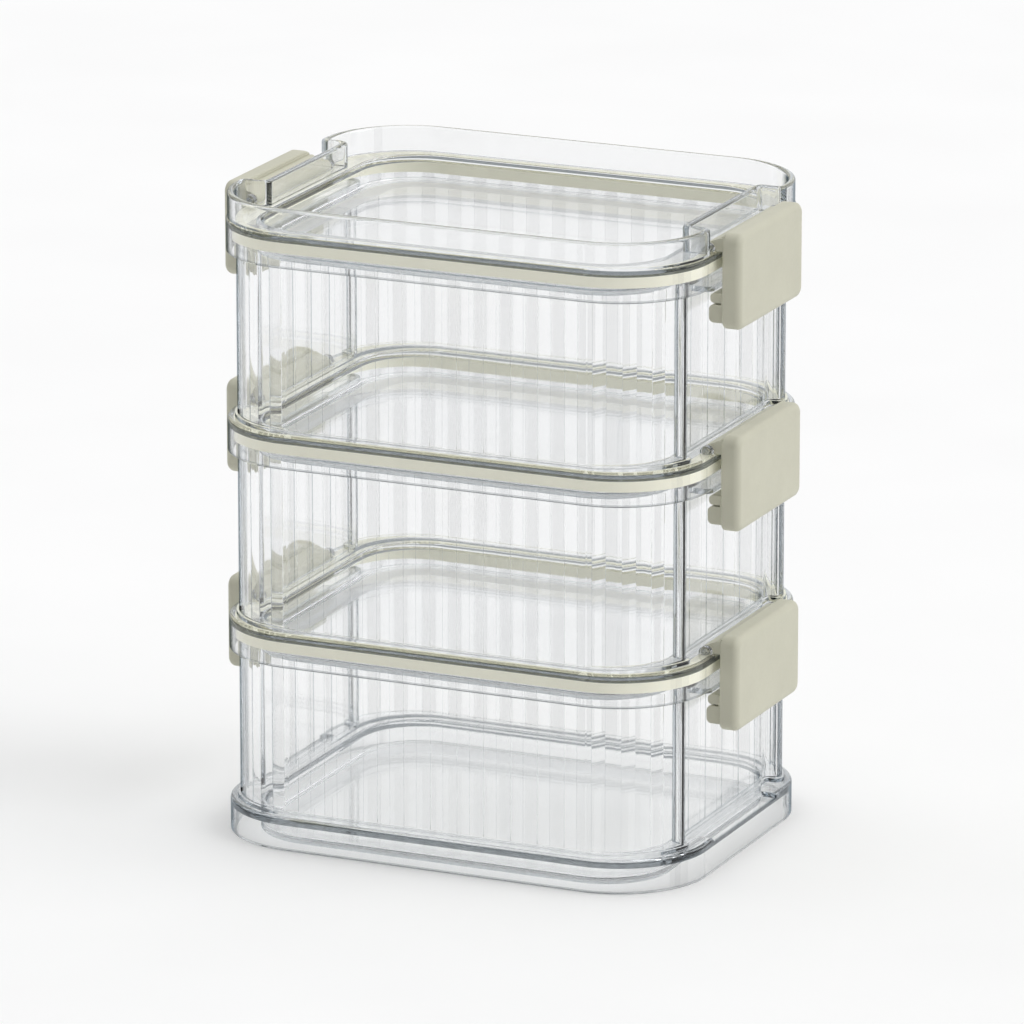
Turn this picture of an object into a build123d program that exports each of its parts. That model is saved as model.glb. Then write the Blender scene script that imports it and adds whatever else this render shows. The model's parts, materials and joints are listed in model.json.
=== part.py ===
from build123d import *
import math
import os

# Outline that every level shares, seen from above: X along the long side, Y along the short side
outer_length = 180.0
outer_depth = 138.0
corner_radius = 33.0

# Base moulding of the lid and of every tub: skirt, flange and the floor plug that sits in the mouth below
base_height = 12.0
flange_thickness = 3.0
flange_edge_radius = 1.4
skirt_thickness = 1.8
plug_lift = 1.0
plug_floor = 2.0
plug_wall = 1.8
plug_corner_radius = 24.0
plug_clearance = 0.8
plug_round = 1.2
ledge_round = 0.6

# Tub walls: set in from the skirt, drawn in again between the corner columns of both short sides
wall_inset = 3.5
wall_thickness = 2.0
recess_depth = 6.0
column_width = 28.0
column_round = 3.0
recess_round = 2.0
plinth_width = 0.9
plinth_height = 1.4
mouth_ledge = 2.0
mouth_ledge_setback = 0.3

# Shallow flat-bottomed upright flutes in the inner face of the tub walls
flute_width = 4.8
flute_depth = 0.3
long_flute_margin = 39.0
long_flute_count = 11
corner_flute_count = 3
short_flute_margin = 11.0
short_flute_count = 5

# Level heights, from one skirt edge to the next
bottom_level = 67.0
middle_level = 72.0
upper_level = 72.0

# Gasket between flange and wall top, along the skirt
gasket_height = 4.0
gasket_skirt_gap = 0.3
gasket_plug_gap = 0.2

# Lid rim with a pocket in each short side for the latch hinge
rim_height = 9.0
rim_inset = 0.5
rim_thickness = 2.6
rim_edge_radius = 1.2
pocket_end_inset = 9.5
pocket_depth = 8.8
pocket_lip_round = 3.2
pocket_foot_round = 1.0

# Latch hinge: a steel pin through two bearings, at the ends of a slot in the flange's edge
pin_radius = 1.25
pin_running_clearance = 0.08
pin_seat_clearance = 0.02
hinge_edge_inset = 3.2
slot_depth = 1.9
barrel_radius = 2.2
barrel_floor_gap = 0.3
barrel_wall_gap = 0.4
barrel_side_gap = 0.5
bearing_thickness = 2.0
bearing_radius = 2.2
bearing_pocket_gap = 1.0

# Latch: plate, arm with a groove, and a hook of two beads
plate_thickness = 7.0
plate_skirt_gap = 1.5
plate_end_overhang = 1.0
plate_rise = 5.4
plate_drop = 16.0
plate_corner_radius = 4.0
plate_face_round = 2.4
plate_back_round = 0.8
arm_end_gap = 1.0
arm_drop = 1.0
arm_rise = 4.6
arm_groove_width = 1.0
arm_groove_depth = 1.0
arm_groove_inset = 0.2
hook_end_inset = 2.5
hook_overlap = 2.0
hook_play = 1.2
hook_bead_height = 3.4
hook_bead_round = 1.3
hook_split = 0.6
hook_split_web = 1.2
hook_block_height = 6.4
hook_block_reach = 0.5
hook_block_round = 1.8

# Catch lug on each short side of a tub, under the skirt of the level above
lug_end_inset = 11.0
lug_height = 2.0
lug_skirt_gap = 0.5
lug_edge_inset = 1.7
lug_end_round = 3.0

# Overlap of fused solids and overrun of cuts
embed = 0.5
overrun = 5.0
nearly_zero = 0.001

# Places that follow from the sizes above
half_length = outer_length / 2
half_depth = outer_depth / 2
wall_face_x = half_length - wall_inset - recess_depth
wall_inner_x = wall_face_x - wall_thickness
wall_face_y = half_depth - wall_inset
wall_inner_y = wall_face_y - wall_thickness
recess_half_width = half_depth - column_width
corner_centre_x = half_length - corner_radius
corner_centre_y = half_depth - corner_radius
inner_corner_radius = corner_radius - wall_inset - wall_thickness
long_flute_span = 2 * (half_length - long_flute_margin)
long_flute_pitch = long_flute_span / (long_flute_count - 1)
short_flute_span = 2 * (recess_half_width - short_flute_margin)
plug_half_length = wall_inner_x - plug_clearance
plug_half_depth = wall_inner_y - plug_clearance
flange_underside = base_height - flange_thickness
gasket_underside = flange_underside - gasket_height
gasket_outer_inset = skirt_thickness + gasket_skirt_gap
gasket_inner_inset = half_depth - plug_half_depth - gasket_plug_gap
lid_height = base_height + rim_height
pocket_face_x = half_length - rim_inset - pocket_depth
pocket_half_width = recess_half_width - pocket_end_inset
hinge_x = half_length - hinge_edge_inset
slot_floor = base_height - slot_depth
hinge_z = slot_floor + barrel_floor_gap + barrel_radius
slot_inner_x = hinge_x - barrel_radius - barrel_wall_gap
bearing_end_y = pocket_half_width - bearing_pocket_gap
slot_half_width = bearing_end_y - bearing_thickness
arm_half_width = slot_half_width - arm_end_gap
plate_half_width = arm_half_width + plate_end_overhang
hook_half_width = plate_half_width - hook_end_inset
plate_inner_x = half_length + plate_skirt_gap
plate_outer_x = plate_inner_x + plate_thickness
plate_top = hinge_z + plate_rise
lug_half_width = recess_half_width - lug_end_inset
lug_face_x = half_length - lug_edge_inset
lug_top = -lug_skirt_gap
lug_underside = lug_top - lug_height
bead_top = lug_underside - hook_play
bead_underside = bead_top - hook_bead_height
bead_tip_x = lug_face_x - hook_overlap
block_top = bead_underside - hook_split
block_underside = block_top - hook_block_height
middle_base = bottom_level
upper_base = middle_base + middle_level
lid_base = upper_base + upper_level


def inset_outline(inset):
    """Rounded outline of the levels, drawn in by a uniform inset."""
    return RectangleRounded(outer_length - 2 * inset, outer_depth - 2 * inset, corner_radius - inset)


def plug_outline(inset):
    """Rounded outline of the floor plug, drawn in by a uniform inset."""
    length = 2 * (plug_half_length - inset)
    depth = 2 * (plug_half_depth - inset)
    return RectangleRounded(length, depth, plug_corner_radius - inset)


def prism(face, bottom, top):
    """Upright solid on a face between two heights."""
    return extrude(Pos(0, 0, bottom) * face, top - bottom)


def block(low_x, high_x, low_y, high_y, low_z, high_z):
    """Box between two corners."""
    centre = ((low_x + high_x) / 2, (low_y + high_y) / 2, (low_z + high_z) / 2)
    return Pos(*centre) * Box(high_x - low_x, high_y - low_y, high_z - low_z)


def notched_prism(inset, notch_x, notch_half_width, tip_round, root_round, bottom, top):
    """Upright solid on the levels' outline with a round-cornered notch in each short side."""
    solid = prism(inset_outline(inset), bottom, top)
    far_x = half_length + overrun
    for side in (-1, 1):
        x_span = sorted((side * notch_x, side * far_x))
        solid -= block(*x_span, -notch_half_width, notch_half_width, bottom - overrun, top + overrun)
    upright = solid.edges().filter_by(Axis.Z)
    roots = upright.filter_by(lambda e: abs(abs(e.center().X) - notch_x) < nearly_zero)
    solid = fillet(roots, root_round)
    upright = solid.edges().filter_by(Axis.Z)
    sides = upright.filter_by(lambda e: abs(abs(e.center().Y) - notch_half_width) < nearly_zero)
    tips = sides.filter_by(lambda e: abs(e.center().X) > notch_x + root_round + nearly_zero)
    return fillet(tips, tip_round)


def rod(radius, half_span):
    """Cylinder along the hinge line of the right side."""
    return Pos(hinge_x, 0, hinge_z) * Rot(90, 0, 0) * Cylinder(radius, 2 * half_span)


def edges_at(solid, height):
    """Edges that lie flat at one height."""
    flat = solid.edges().filter_by(lambda e: abs(e.center().Z - height) < nearly_zero)
    return flat.filter_by(lambda e: e.bounding_box().size.Z < nearly_zero)


def both_sides(solid):
    """The solid of the right side with its mirror image on the left."""
    return [solid, mirror(solid, about=Plane.YZ)]


def latch_slot():
    """Cutter of the slot for the latch of the right side, open to the outside."""
    far_x = half_length + overrun
    return block(slot_inner_x, far_x, -slot_half_width, slot_half_width, slot_floor, base_height + overrun)


def base_moulding():
    """Skirt, flange and floor plug in one piece, with a latch slot in each short side."""
    skirt = prism(inset_outline(0) - inset_outline(skirt_thickness), 0, base_height)
    flange = prism(inset_outline(0) - plug_outline(plug_wall), flange_underside, base_height)
    plug = prism(plug_outline(0), plug_lift, base_height)
    plug = fillet(edges_at(plug, plug_lift), plug_round)
    well = prism(plug_outline(plug_wall), plug_lift + plug_floor, base_height + overrun)
    well = fillet(edges_at(well, plug_lift + plug_floor), plug_round)
    base = skirt + flange + plug - well
    top = base.faces().filter_by(Axis.Z).sort_by(Axis.Z)[-1]
    base = fillet(top.outer_wire().edges(), flange_edge_radius)
    top = base.faces().filter_by(Axis.Z).sort_by(Axis.Z)[-1]
    base = fillet(top.inner_wires()[0].edges(), ledge_round)
    return base - both_sides(latch_slot())


def corner_flute(cutter, place_in_corner, side):
    """One flute in a corner at the back, as many pitches along the wall as its place in the corner."""
    along_arc = long_flute_span / 2 + place_in_corner * long_flute_pitch - corner_centre_x
    angle = math.degrees(along_arc / inner_corner_radius)
    centre = Pos(side * corner_centre_x, corner_centre_y, 0)
    return centre * Rot(0, 0, -side * angle) * Pos(0, inner_corner_radius, 0) * cutter


def flutes(bottom, top):
    """Cutters for the upright flutes of all four walls and of the corners."""
    half_width = flute_width / 2
    cutter = block(-half_width, half_width, -flute_depth, flute_depth, bottom, top)
    row = []
    for k in range(long_flute_count):
        x = (k / (long_flute_count - 1) - 1 / 2) * long_flute_span
        row.append(Pos(x, wall_inner_y, 0) * cutter)
    for k in range(corner_flute_count):
        row.append(corner_flute(cutter, k + 1, 1))
        row.append(corner_flute(cutter, k + 1, -1))
    for k in range(short_flute_count):
        y = (k / (short_flute_count - 1) - 1 / 2) * short_flute_span
        row.append(Rot(0, 0, 90) * Pos(y, wall_inner_x, 0) * cutter)
    return row + [Rot(0, 0, 180) * flute for flute in row]


def tub_wall(top):
    """Tub wall of even thickness, drawn in below the mouth on the short sides, with flutes inside."""
    bottom = base_height - embed
    outer = notched_prism(
        wall_inset,
        wall_face_x,
        recess_half_width,
        column_round,
        recess_round,
        bottom,
        top,
    )
    inner = notched_prism(
        wall_inset + wall_thickness,
        wall_inner_x,
        recess_half_width + wall_thickness,
        column_round - wall_thickness,
        recess_round + wall_thickness,
        bottom - overrun,
        top + overrun,
    )
    mouth = prism(inset_outline(wall_inset + mouth_ledge_setback), top - mouth_ledge, top)
    return outer + mouth - inner - flutes(base_height + plinth_height, top - mouth_ledge)


def plinth():
    """Low step round the foot of the tub wall."""
    bottom = base_height - embed
    step = notched_prism(
        wall_inset - plinth_width,
        wall_face_x + plinth_width,
        recess_half_width - plinth_width,
        column_round,
        recess_round - plinth_width,
        bottom,
        base_height + plinth_height,
    )
    hole = prism(plug_outline(-plug_clearance), bottom - overrun, base_height + plinth_height + overrun)
    return step - hole


def bearing():
    """Ear on the flange that holds one end of a hinge pin, at the front of the right side."""
    foot = block(
        hinge_x - bearing_radius,
        hinge_x + bearing_radius,
        -bearing_end_y,
        -slot_half_width,
        base_height - embed,
        hinge_z,
    )
    eye = Pos(0, -slot_half_width - bearing_thickness / 2, 0) * rod(bearing_radius, bearing_thickness / 2)
    return foot + eye


def add_bearings(shell):
    """The shell with four bearings, bored for the hinge pins of both sides."""
    for ear in both_sides(bearing() + mirror(bearing(), about=Plane.XZ)):
        shell += ear
    for seat in both_sides(rod(pin_radius + pin_seat_clearance, bearing_end_y + embed)):
        shell -= seat
    return shell


def catch_lug(wall_top):
    """Rib on the right short side that the hook of the level above pulls against."""
    level_above = wall_top - gasket_underside
    lug = block(
        wall_face_x - embed,
        lug_face_x,
        -lug_half_width,
        lug_half_width,
        level_above + lug_underside,
        level_above + lug_top,
    )
    ends = lug.edges().filter_by(Axis.Z).sort_by(Axis.X)[-2:]
    return fillet(ends, lug_end_round)


def tub(level, has_latches):
    """One tub; its wall ends against the gasket of the level above."""
    wall_top = level + gasket_underside
    shell = base_moulding() + plinth() + tub_wall(wall_top)
    for lug in both_sides(catch_lug(wall_top)):
        shell += lug
    if has_latches:
        shell = add_bearings(shell)
    return shell


def lid():
    """Tray lid: base moulding with a rim that turns in round both hinge pockets."""
    bottom = base_height - embed
    outer = notched_prism(
        rim_inset,
        pocket_face_x,
        pocket_half_width,
        pocket_lip_round,
        pocket_foot_round,
        bottom,
        lid_height,
    )
    inner = notched_prism(
        rim_inset + rim_thickness,
        pocket_face_x - rim_thickness,
        pocket_half_width + rim_thickness,
        pocket_lip_round - rim_thickness,
        pocket_foot_round + rim_thickness,
        bottom - overrun,
        lid_height + overrun,
    )
    rim = outer - inner
    rim = fillet(edges_at(rim, lid_height), rim_edge_radius)
    return add_bearings(base_moulding() + rim)


def gasket():
    """Seal ring under the flange, all along the inside of the skirt."""
    ring = inset_outline(gasket_outer_inset) - inset_outline(gasket_inner_inset)
    return prism(ring, gasket_underside, flange_underside)


def latch_plate():
    """Outer plate of the right latch with rounded corners and a softened face."""
    plate = block(
        plate_inner_x,
        plate_outer_x,
        -plate_half_width,
        plate_half_width,
        -plate_drop,
        plate_top,
    )
    plate = fillet(plate.edges().filter_by(Axis.X), plate_corner_radius)
    plate = fillet(plate.faces().sort_by(Axis.X)[-1].outer_wire().edges(), plate_face_round)
    return fillet(plate.faces().sort_by(Axis.X)[0].outer_wire().edges(), plate_back_round)


def latch_arm():
    """Arm that rises from the hinge barrel to the plate, with a fine groove along its top."""
    root_x = plate_inner_x + plate_back_round
    arm_top = hinge_z + arm_rise
    profile = Polyline(
        (hinge_x, hinge_z + barrel_radius),
        (hinge_x, hinge_z - arm_drop),
        (root_x, hinge_z - arm_drop),
        (root_x, arm_top),
        close=True,
    )
    arm = extrude(Plane.XZ * make_face(profile), arm_half_width, both=True)
    groove_x = plate_inner_x - arm_groove_inset
    groove = block(
        groove_x - arm_groove_width,
        groove_x,
        -plate_half_width,
        plate_half_width,
        arm_top - arm_groove_depth,
        arm_top + overrun,
    )
    return arm - groove


def latch_hook():
    """Two beads on the plate's back: the upper one catches the lug, the lower one stiffens it."""
    root_x = plate_inner_x + plate_back_round
    bead = block(bead_tip_x, root_x, -hook_half_width, hook_half_width, bead_underside, bead_top)
    bead = fillet(bead.edges().filter_by(Axis.Y).sort_by(Axis.X)[:2], hook_bead_round)
    low_tip_x = bead_tip_x - hook_block_reach
    low = block(low_tip_x, root_x, -hook_half_width, hook_half_width, block_underside, block_top)
    low = fillet(low.edges().filter_by(Axis.Y).sort_by(Axis.X)[:2], hook_block_round)
    web_x = plate_inner_x - hook_split_web
    web = block(web_x, root_x, -hook_half_width, hook_half_width, block_underside, bead_top)
    return bead + low + web


def latch():
    """Right-hand latch of the base level: barrel, arm, plate and hook in one piece."""
    barrel = rod(barrel_radius, slot_half_width - barrel_side_gap)
    bore = rod(pin_radius + pin_running_clearance, slot_half_width)
    return barrel + latch_arm() + latch_plate() + latch_hook() - bore


def hinge_pin():
    """Right-hand hinge pin of the base level, flush with the outside of both bearings."""
    return rod(pin_radius, bearing_end_y)


def place(shape, height):
    """A shape of the base level moved up to its own level."""
    return Pos(0, 0, height) * shape


def save(shape, name):
    export_step(shape, os.path.join("parts", name + ".step"))


os.makedirs("parts", exist_ok=True)
save(tub(bottom_level, False), "bottom_tub")
save(place(tub(middle_level, True), middle_base), "middle_tub")
save(place(tub(upper_level, True), upper_base), "upper_tub")
save(place(lid(), lid_base), "lid_shell")
levels = (("middle", middle_base), ("upper", upper_base), ("lid", lid_base))
right_latch = latch()
right_pin = hinge_pin()
seal = gasket()
for level_name, level_z in levels:
    save(place(seal, level_z), level_name + "_gasket")
    save(place(right_latch, level_z), level_name + "_latch_right")
    save(place(mirror(right_latch, about=Plane.YZ), level_z), level_name + "_latch_left")
    save(place(right_pin, level_z), level_name + "_pin_right")
    save(place(mirror(right_pin, about=Plane.YZ), level_z), level_name + "_pin_left")
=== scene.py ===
import json
import math

import bpy
from mathutils import Matrix, Vector

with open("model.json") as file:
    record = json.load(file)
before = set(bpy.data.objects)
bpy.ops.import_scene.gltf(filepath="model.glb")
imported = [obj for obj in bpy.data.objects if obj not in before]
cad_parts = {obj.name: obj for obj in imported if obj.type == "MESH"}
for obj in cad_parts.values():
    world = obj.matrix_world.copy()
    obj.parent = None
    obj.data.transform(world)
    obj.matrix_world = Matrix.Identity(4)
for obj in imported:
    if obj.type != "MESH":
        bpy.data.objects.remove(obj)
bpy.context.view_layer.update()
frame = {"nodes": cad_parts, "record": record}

# Camera, fitted to the photograph's edges: angles in degrees, lengths in metres
CAMERA_AZIMUTH = 24.13
CAMERA_ELEVATION = 15.63
CAMERA_PITCH = 15.69
CAMERA_DISTANCE = 3.1825
CAMERA_LENS = 317.4
CAMERA_SENSOR = 36
CAMERA_FAR = 100
AIM = Vector((0, 0, 0.116))

# Floor paper, a little below the box so that the two never coincide
FLOOR_RADIUS = 12
FLOOR_HEIGHT = -0.0002

# Upright flutes in the tub walls, and where the inner faces of the walls lie
FLUTE_WIDTH = 0.0048
FLUTE_SOFT_EDGE = 0.0002
LONG_PITCH = 0.0102
SHORT_PITCH = 0.015
WALL = 0.002
WALL_REACH = 0.0012
SHORT_WALL_X = 0.0785
CORNER_X, CORNER_Y = 0.057, 0.036
INNER_RADIUS = 0.0275

# Skirt edges of the levels; above them the flange's outer edge, the skirt's foot and the plug's bottom round
LEVELS = (0, 0.067, 0.139, 0.211)
FLANGE_EDGE, FLANGE_EDGE_HALF = 0.0103, 0.0011
SKIRT_FOOT, SKIRT_FOOT_HALF = 0.0004, 0.0005
PLUG_EDGE, PLUG_EDGE_HALF = 0.0017, 0.0008

# Outer faces of the skirts, top of the lowest skirt, and the ground border under the floor plugs
OUTSIDE_REACH = 0.0322
SKIRT_TOP = 0.012
PLUG_X, PLUG_Y = 0.0537, 0.0387
PLUG_BORDER, PLUG_BORDER_HALF = 0.0185, 0.0058
PLUG_ROUGHNESS = 0.6

# Painted shade on the clear plastic in the flutes, on the flange's outer edge and on the skirt's foot; and the
# plastic's colour and density over long ways
FLUTE_PAINTED_SHADE = 0.87
FLANGE_PAINTED_SHADE = (0.09, 0.105, 0.115, 1)
FOOT_PAINTED_SHADE = (0.50, 0.52, 0.53, 1)
DEPTH_TINT, DEPTH_DENSITY = (0.80, 0.83, 0.855, 1), 42.0

# Painted shade edge-on: its colour, where it sets in and ends, and how far level faces lag behind upright ones
EDGE_ON_PAINTED_SHADE = (0.56, 0.595, 0.62, 1)
EDGE_START, EDGE_END = 0.63, 0.82
LEVEL_FACE_LAG = 0.2

# Share of lamp light that a clear face lets through, and a face of the lowest skirt
CLEAR_PASS, SKIRT_PASS = 0.999, 0.5

# Room: where it is brightest, its dim and bright colours, and how far round from dim it is fully bright
ROOM_TOP = (0.1, 0.45, 0.89)
ROOM_DIM, ROOM_BRIGHT = (0.1, 0.105, 0.11, 1), (0.98, 0.98, 0.98, 1)
ROOM_BRIGHT_FROM = 0.6

# Suns: direction towards the lamp, strength and spread in degrees
KEY_SUN = (0.75, 0.12, 0.62), 0.98, 40
FILL_SUN = (-0.9, 0, 0.42), 0.28, 30


def node(tree, kind, **values):
    """A shader node with its input values set by name."""
    made = tree.nodes.new(kind)
    for name, value in values.items():
        made.inputs[name.replace("_", " ")].default_value = value
    return made


def new_material(name):
    """An empty node material with its output node."""
    mat = bpy.data.materials.new(name)
    mat.use_nodes = True
    mat.node_tree.nodes.clear()
    out = mat.node_tree.nodes.new("ShaderNodeOutputMaterial")
    return mat, mat.node_tree, out


def noise(tree, scale, detail, stretch=(1, 1, 1)):
    """Noise in the object's own metres, stretched along the axes."""
    place = tree.nodes.new("ShaderNodeTexCoord")
    mapping = tree.nodes.new("ShaderNodeMapping")
    mapping.inputs["Scale"].default_value = stretch
    tree.links.new(place.outputs["Object"], mapping.inputs["Vector"])
    made = node(tree, "ShaderNodeTexNoise", Scale=scale, Detail=detail, Roughness=0.55)
    tree.links.new(mapping.outputs["Vector"], made.inputs["Vector"])
    return made.outputs["Fac"]


def ramp(tree, factor, low, high, start=0.3, end=0.7):
    """Colour or grey that runs from low to high with the factor."""
    made = tree.nodes.new("ShaderNodeValToRGB")
    first, last = made.color_ramp.elements
    first.position, last.position = start, end
    first.color = low
    last.color = high
    tree.links.new(factor, made.inputs["Fac"])
    return made.outputs["Color"]


def grey(value):
    """A neutral colour."""
    return (value, value, value, 1)


def bump(tree, relief, strength, distance):
    """A normal that follows a fine relief."""
    made = node(tree, "ShaderNodeBump", Strength=strength, Distance=distance)
    tree.links.new(relief, made.inputs["Height"])
    return made.outputs["Normal"]


def maths(tree, operation, *inputs):
    """A math node on sockets and plain numbers."""
    made = tree.nodes.new("ShaderNodeMath")
    made.operation = operation
    for k, value in enumerate(inputs):
        if isinstance(value, bpy.types.NodeSocket):
            tree.links.new(value, made.inputs[k])
        else:
            made.inputs[k].default_value = value
    return made.outputs[0]


def mixed(tree, factor, first, second):
    """A shader that turns from the first to the second with the factor."""
    made = tree.nodes.new("ShaderNodeMixShader")
    tree.links.new(factor, made.inputs[0])
    tree.links.new(first, made.inputs[1])
    tree.links.new(second, made.inputs[2])
    return made.outputs[0]


def tinted(tree, factor, plain, shade):
    """A colour that turns from the plain one to itself times the shade with the factor."""
    made = tree.nodes.new("ShaderNodeMixRGB")
    made.blend_type = "MULTIPLY"
    made.inputs[2].default_value = shade
    tree.links.new(factor, made.inputs[0])
    tree.links.new(plain, made.inputs[1])
    return made.outputs[0]


def axes(tree, coordinates):
    """The X, Y and Z outputs of one kind of texture coordinates."""
    place = tree.nodes.new("ShaderNodeTexCoord")
    split = tree.nodes.new("ShaderNodeSeparateXYZ")
    tree.links.new(place.outputs[coordinates], split.inputs[0])
    return split.outputs


def past(tree, along, limit):
    """How far a coordinate lies past a limit, and zero before it."""
    return maths(tree, "MAXIMUM", maths(tree, "SUBTRACT", along, limit), 0)


def length(tree, first, second):
    """Length of two coordinates at right angles."""
    squares = [maths(tree, "POWER", side, 2) for side in (first, second)]
    return maths(tree, "SQRT", maths(tree, "ADD", *squares))


def in_flute(tree, along, pitch):
    """One inside the flutes that repeat along a wall, with a narrow soft edge."""
    away = maths(tree, "PINGPONG", along, pitch / 2)
    edge = tree.nodes.new("ShaderNodeMapRange")
    edge.inputs["From Min"].default_value = FLUTE_WIDTH / 2 + FLUTE_SOFT_EDGE
    edge.inputs["From Max"].default_value = FLUTE_WIDTH / 2 - FLUTE_SOFT_EDGE
    tree.links.new(away, edge.inputs["Value"])
    return edge.outputs["Result"]


def fluted(tree):
    """One in the flutes of the back wall with its corners and of the left wall: the bands that get painted shade.
    """
    place = axes(tree, "Object")
    aside = maths(tree, "ABSOLUTE", place["X"])
    beyond = past(tree, aside, CORNER_X)
    behind = past(tree, place["Y"], CORNER_Y)
    arc = maths(tree, "MULTIPLY", maths(tree, "ARCTAN2", beyond, behind), INNER_RADIUS)
    along = maths(tree, "ADD", maths(tree, "MINIMUM", aside, CORNER_X), arc)
    back = maths(tree, "COMPARE", length(tree, beyond, behind), INNER_RADIUS + WALL / 2, WALL_REACH)
    left = maths(tree, "COMPARE", place["X"], -SHORT_WALL_X - WALL / 2, WALL_REACH)
    back_flutes = maths(tree, "MULTIPLY", in_flute(tree, along, LONG_PITCH), back)
    across = maths(tree, "ABSOLUTE", place["Y"])
    left_flutes = maths(tree, "MULTIPLY", in_flute(tree, across, SHORT_PITCH), left)
    return maths(tree, "MAXIMUM", back_flutes, left_flutes)


def level_band(tree, middle, half):
    """One in a band of the same height in every level."""
    height = axes(tree, "Object")["Z"]
    found = maths(tree, "COMPARE", height, LEVELS[0] + middle, half)
    for base in LEVELS[1:]:
        band = maths(tree, "COMPARE", height, base + middle, half)
        found = maths(tree, "MAXIMUM", found, band)
    return found


def outline_reach(tree, centre_x, centre_y):
    """Distance from the lines that join the corner centres, even all along a rounded outline."""
    place = axes(tree, "Object")
    beyond = past(tree, maths(tree, "ABSOLUTE", place["X"]), centre_x)
    behind = past(tree, maths(tree, "ABSOLUTE", place["Y"]), centre_y)
    return length(tree, beyond, behind)


def edge_on(tree):
    """Rises where an upright face is seen nearly edge-on, and later on level faces: where painted shade sets in."""
    facing = node(tree, "ShaderNodeLayerWeight", Blend=0.5).outputs["Facing"]
    level = maths(tree, "ABSOLUTE", axes(tree, "Normal")["Z"])
    return maths(tree, "SUBTRACT", facing, maths(tree, "MULTIPLY", level, LEVEL_FACE_LAG))


def clear_colour_and_painted_shade(tree, outside):
    """Colour of the clear plastic, faintly uneven, with painted shade in the flutes, on the flange's outer edge and
    on the skirt's foot.
    """
    tint = ramp(tree, noise(tree, 22, 2), (0.99, 0.992, 0.993, 1), (0.997, 0.998, 0.998, 1))
    # Painted shade: darker bands in the flutes of the back and left walls
    tint = tinted(tree, fluted(tree), tint, grey(FLUTE_PAINTED_SHADE))
    # Painted shade: a dark band on the flange's outer edge
    flange = maths(tree, "MULTIPLY", level_band(tree, FLANGE_EDGE, FLANGE_EDGE_HALF), outside)
    tint = tinted(tree, flange, tint, FLANGE_PAINTED_SHADE)
    # Painted shade: a darker line along the skirt's foot
    foot = maths(tree, "MULTIPLY", level_band(tree, SKIRT_FOOT, SKIRT_FOOT_HALF), outside)
    return tinted(tree, foot, tint, FOOT_PAINTED_SHADE)


def clear_roughness(tree):
    """Polish of the clear plastic, ground along the border under the floor plugs."""
    reach = outline_reach(tree, PLUG_X, PLUG_Y)
    border = maths(tree, "COMPARE", reach, PLUG_BORDER, PLUG_BORDER_HALF)
    plug = maths(tree, "MULTIPLY", level_band(tree, PLUG_EDGE, PLUG_EDGE_HALF), border)
    polish = ramp(tree, noise(tree, 22, 2), grey(0.015), grey(0.05))
    return maths(tree, "MAXIMUM", polish, maths(tree, "MULTIPLY", plug, PLUG_ROUGHNESS))


def clear_to_light(tree, surface, outside):
    """The surface, but plainly see-through for lamp light and for light off the floor, less in the lowest skirt."""
    through = node(tree, "ShaderNodeBsdfTransparent")
    low = maths(tree, "LESS_THAN", axes(tree, "Object")["Z"], SKIRT_TOP)
    skirt = maths(tree, "MULTIPLY", low, outside)
    tree.links.new(ramp(tree, skirt, grey(CLEAR_PASS), grey(SKIRT_PASS), 0, 1), through.inputs["Color"])
    lamps = tree.nodes.new("ShaderNodeLightPath")
    for ray in ("Is Diffuse Ray", "Is Shadow Ray"):
        surface = mixed(tree, lamps.outputs[ray], surface, through.outputs[0])
    return surface


def clear_plastic():
    """Clear moulded plastic: glossy, with a faint flow wave, painted shade edge-on and dim over long ways."""
    mat, tree, out = new_material("clear_plastic")
    outside = maths(tree, "GREATER_THAN", outline_reach(tree, CORNER_X, CORNER_Y), OUTSIDE_REACH)
    body = node(tree, "ShaderNodeBsdfPrincipled", IOR=1.5, Transmission_Weight=1.0)
    tree.links.new(clear_colour_and_painted_shade(tree, outside), body.inputs["Base Color"])
    tree.links.new(clear_roughness(tree), body.inputs["Roughness"])
    wave = bump(tree, noise(tree, 40, 1), 0.06, 0.0006)
    tree.links.new(wave, body.inputs["Normal"])
    # Painted shade where a clear face is seen edge-on
    edge = node(tree, "ShaderNodeBsdfTransparent", Color=EDGE_ON_PAINTED_SHADE)
    dark = ramp(tree, edge_on(tree), grey(0), grey(1), EDGE_START, EDGE_END)
    surface = mixed(tree, dark, body.outputs[0], edge.outputs[0])
    tree.links.new(clear_to_light(tree, surface, outside), out.inputs["Surface"])
    depth = node(tree, "ShaderNodeVolumeAbsorption", Color=DEPTH_TINT, Density=DEPTH_DENSITY)
    tree.links.new(depth.outputs[0], out.inputs["Volume"])
    return mat


def latch_plastic():
    """Satin beige plastic with a fine spark-eroded grain."""
    mat, tree, out = new_material("latch_plastic")
    body = node(tree, "ShaderNodeBsdfPrincipled", IOR=1.48, Specular_IOR_Level=0.45)
    colour = ramp(tree, noise(tree, 60, 3), (0.535, 0.525, 0.42, 1), (0.565, 0.555, 0.445, 1))
    tree.links.new(colour, body.inputs["Base Color"])
    rough = ramp(tree, noise(tree, 900, 2), grey(0.42), grey(0.56))
    tree.links.new(rough, body.inputs["Roughness"])
    grain = bump(tree, noise(tree, 2600, 2), 0.12, 0.00012)
    tree.links.new(grain, body.inputs["Normal"])
    tree.links.new(body.outputs[0], out.inputs["Surface"])
    return mat


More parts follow.
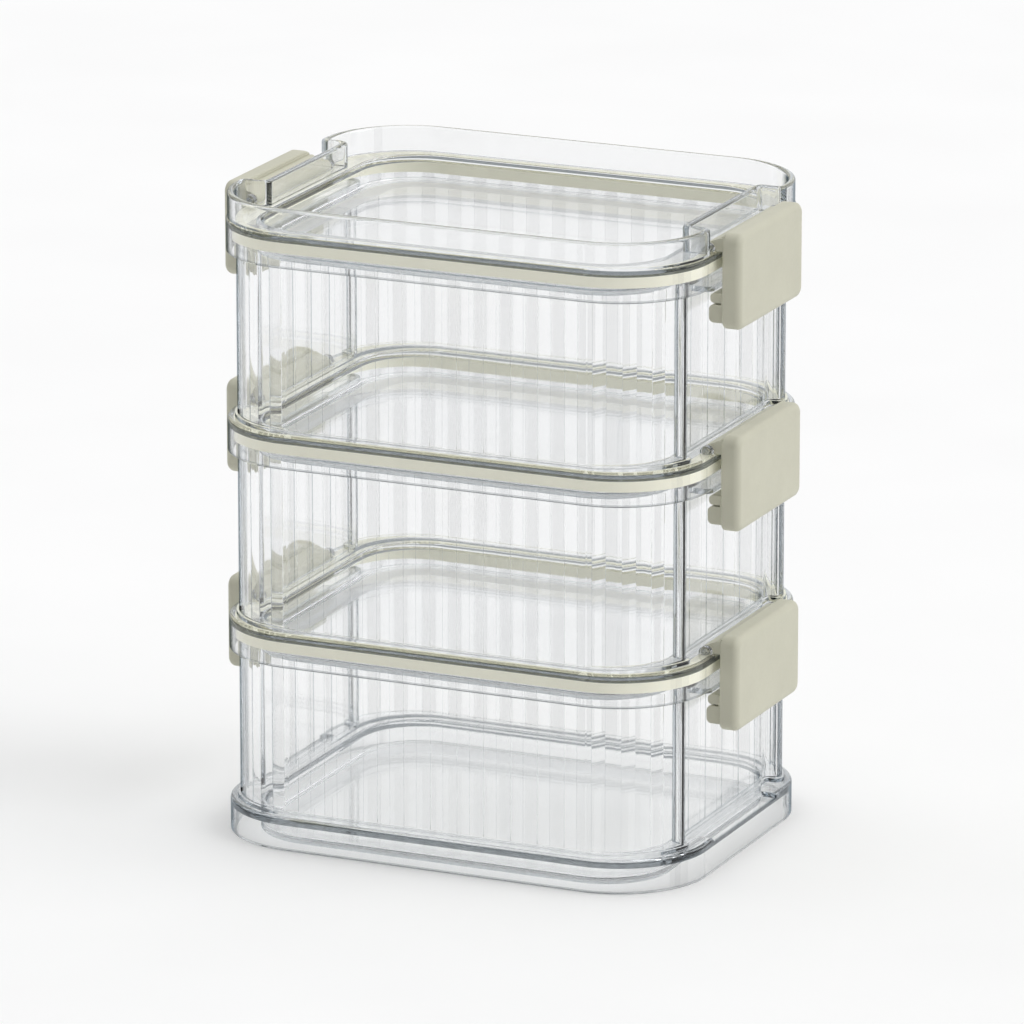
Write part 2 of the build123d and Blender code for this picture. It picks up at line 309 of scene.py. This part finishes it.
def seal_silicone():
    """Matt pale beige silicone."""
    mat, tree, out = new_material("seal_silicone")
    body = node(tree, "ShaderNodeBsdfPrincipled", IOR=1.41, Specular_IOR_Level=0.3)
    colour = ramp(tree, noise(tree, 45, 3), (0.92, 0.90, 0.74, 1), (0.95, 0.93, 0.77, 1))
    tree.links.new(colour, body.inputs["Base Color"])
    rough = ramp(tree, noise(tree, 700, 2), grey(0.58), grey(0.72))
    tree.links.new(rough, body.inputs["Roughness"])
    grain = bump(tree, noise(tree, 1800, 2), 0.08, 0.0001)
    tree.links.new(grain, body.inputs["Normal"])
    tree.links.new(body.outputs[0], out.inputs["Surface"])
    return mat


def pin_steel():
    """Drawn stainless wire with fine lines along it."""
    mat, tree, out = new_material("pin_steel")
    body = node(tree, "ShaderNodeBsdfPrincipled", Metallic=1.0)
    lines = noise(tree, 1500, 2, (1, 0.02, 1))
    colour = ramp(tree, lines, (0.48, 0.49, 0.50, 1), (0.62, 0.63, 0.64, 1))
    tree.links.new(colour, body.inputs["Base Color"])
    rough = ramp(tree, lines, grey(0.22), grey(0.36))
    tree.links.new(rough, body.inputs["Roughness"])
    tree.links.new(body.outputs[0], out.inputs["Surface"])
    return mat


def floor_paper():
    """White studio paper."""
    mat, tree, out = new_material("floor_paper")
    body = node(tree, "ShaderNodeBsdfDiffuse")
    colour = ramp(tree, noise(tree, 8, 2), grey(0.93), grey(0.95))
    tree.links.new(colour, body.inputs["Color"])
    tree.links.new(body.outputs[0], out.inputs["Surface"])
    return mat


def dress_nodes():
    """Gives every CAD node the material of its slot."""
    makers = {
        "clear_plastic": clear_plastic(),
        "latch_plastic": latch_plastic(),
        "seal_silicone": seal_silicone(),
        "pin_steel": pin_steel(),
    }
    for part in frame["record"]["subparts"]:
        obj = frame["nodes"][part["node"]]
        for k in range(len(obj.material_slots)):
            obj.material_slots[k].material = makers[part["material_slot"]]


def add_floor():
    """A wide round sheet of paper."""
    place = (0, 0, FLOOR_HEIGHT)
    bpy.ops.mesh.primitive_circle_add(vertices=96, radius=FLOOR_RADIUS, fill_type="NGON", location=place)
    floor = bpy.context.object
    floor.name = "floor"
    floor.data.materials.append(floor_paper())


def add_world():
    """Studio room: bright above and behind, dim towards the front horizon."""
    world = bpy.data.worlds.new("studio")
    bpy.context.scene.world = world
    world.use_nodes = True
    tree = world.node_tree
    tree.nodes.clear()
    place = tree.nodes.new("ShaderNodeTexCoord")
    tilt = tree.nodes.new("ShaderNodeVectorMath")
    tilt.operation = "DOT_PRODUCT"
    tilt.inputs[1].default_value = ROOM_TOP
    tree.links.new(place.outputs["Generated"], tilt.inputs[0])
    shade = ramp(tree, tilt.outputs["Value"], ROOM_DIM, ROOM_BRIGHT, 0, ROOM_BRIGHT_FROM)
    light = node(tree, "ShaderNodeBackground", Strength=1.0)
    tree.links.new(shade, light.inputs["Color"])
    out = tree.nodes.new("ShaderNodeOutputWorld")
    tree.links.new(light.outputs[0], out.inputs["Surface"])


def add_sun(name, towards, strength, spread):
    """Broad even light from one direction, as from a large far soft box."""
    data = bpy.data.lights.new(name, "SUN")
    data.energy = strength
    data.angle = math.radians(spread)
    lamp = bpy.data.objects.new(name, data)
    bpy.context.scene.collection.objects.link(lamp)
    lamp.rotation_euler = Vector(towards).to_track_quat("Z", "Y").to_euler()


def let_light_through():
    """Enough steps for light that passes many clear walls and floors or runs along inside them."""
    paths = bpy.context.scene.cycles
    paths.max_bounces = 24
    paths.glossy_bounces = 12
    paths.transmission_bounces = 24
    paths.transparent_max_bounces = 48


def direction(azimuth, elevation):
    """Unit vector at an angle round from the front and an angle up, in radians."""
    level = math.cos(elevation)
    return Vector((math.sin(azimuth) * level, -math.cos(azimuth) * level, math.sin(elevation)))


def add_camera():
    """Camera that looks down at the box from the front right."""
    azimuth = math.radians(CAMERA_AZIMUTH)
    away = direction(azimuth, math.radians(CAMERA_ELEVATION))
    back = direction(azimuth, math.radians(CAMERA_PITCH))
    right = Vector((math.cos(azimuth), math.sin(azimuth), 0))
    data = bpy.data.cameras.new("camera")
    data.sensor_width = CAMERA_SENSOR
    data.lens = CAMERA_LENS
    data.clip_end = CAMERA_FAR
    cam = bpy.data.objects.new("camera", data)
    bpy.context.scene.collection.objects.link(cam)
    turn = Matrix((right, back.cross(right), back)).transposed().to_4x4()
    cam.matrix_world = Matrix.Translation(AIM + away * CAMERA_DISTANCE) @ turn
    bpy.context.scene.camera = cam


dress_nodes()
add_floor()
add_world()
add_sun("key", *KEY_SUN)
add_sun("fill", *FILL_SUN)
add_camera()
let_light_through()
bpy.context.scene.view_settings.view_transform = "Standard"
